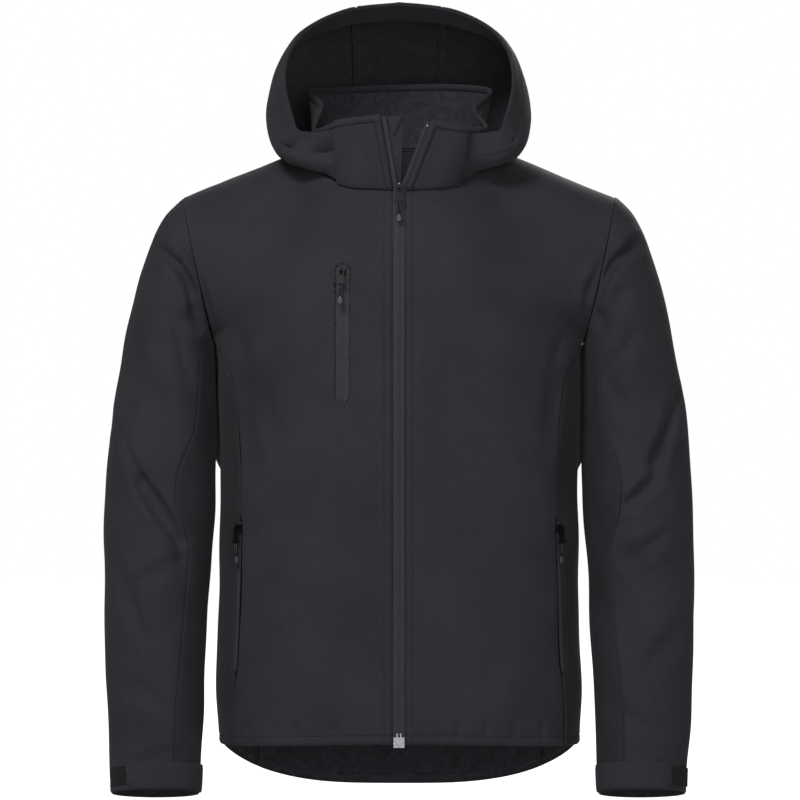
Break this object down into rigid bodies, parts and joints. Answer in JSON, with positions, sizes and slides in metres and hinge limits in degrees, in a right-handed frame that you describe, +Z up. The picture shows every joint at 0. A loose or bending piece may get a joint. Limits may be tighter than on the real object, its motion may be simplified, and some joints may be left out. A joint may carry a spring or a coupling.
{
  "type": "hooded softshell jacket",
  "caption": "Hooded softshell jacket, filled out with no wearer, with a zip front, stand collar, zip pockets and adjustable cuffs.",
  "frame": {"origin": "middle of the neck opening, level with the joint of shoulder and neck", "axes": "+Z up, -Y to the front, +X to the wearer's left"},
  "size_m": [0.686, 0.3181, 0.9285],
  "materials": {
    "shell": "dense matt stretch weave, dark charcoal",
    "side_shell": "the same weave on side and under panels",
    "fleece": "short napped fleece inside the collar",
    "tape": "woven zip tape with coil behind",
    "loop": "soft black loop pile",
    "grip": "moulded end on a short black cord",
    "black_metal": "semi-gloss black enamel",
    "steel": "bright nickel"
  },
  "bodies": {
    "jacket": {"front_right": "shell", "front_left": "shell", "back": "shell", "sleeve_upper_right": "shell", "sleeve_upper_left": "shell", "cuff_tab_right": "shell", "cuff_tab_left": "shell", "collar_tab_right": "shell", "collar_tab_left": "shell", "hood_right": "shell", "hood_left": "shell", "hood_centre": "shell", "hood_facing": "shell", "wind_flap": "shell", "chin_guard": "shell", "side_right": "side_shell", "side_left": "side_shell", "sleeve_under_right": "side_shell", "sleeve_under_left": "side_shell", "collar": "fleece", "zip_tape_right": "tape", "zip_tape_left": "tape", "pocket_zip_right": "tape", "pocket_zip_left": "tape", "chest_zip": "tape", "cuff_patch_right": "loop", "cuff_patch_left": "loop", "slider_main": "black_metal", "slider_chest": "black_metal", "slider_pocket_right": "black_metal", "slider_pocket_left": "black_metal", "zip_box": "steel"},
    "pull_main": {"pull_main_link": "black_metal", "pull_main_grip": "grip"},
    "pull_chest": {"pull_chest_link": "black_metal", "pull_chest_grip": "grip"},
    "pull_pocket_right": {"pull_pocket_right_link": "black_metal", "pull_pocket_right_grip": "grip"},
    "pull_pocket_left": {"pull_pocket_left_link": "black_metal", "pull_pocket_left_grip": "grip"}
  },
  "joints": [
    {"name": "pull_main_swing", "type": "hinge", "parent": "jacket", "child": "pull_main", "pos_m": [0, -0.12655, -0.04525], "axis": [-1, 0, 0], "range_deg": [0, 150]},
    {"name": "pull_chest_swing", "type": "hinge", "parent": "jacket", "child": "pull_chest", "pos_m": [-0.06503, -0.14059, -0.13969], "axis": [-0.9806, 0.1961, 0], "range_deg": [0, 150]},
    {"name": "pull_pocket_right_swing", "type": "hinge", "parent": "jacket", "child": "pull_pocket_right", "pos_m": [-0.18685, -0.08347, -0.434], "axis": [-0.6448, 0.7644, 0], "range_deg": [0, 150]},
    {"name": "pull_pocket_left_swing", "type": "hinge", "parent": "jacket", "child": "pull_pocket_left", "pos_m": [0.18685, -0.08347, -0.434], "axis": [-0.6448, -0.7644, 0], "range_deg": [0, 150]}
  ]
}
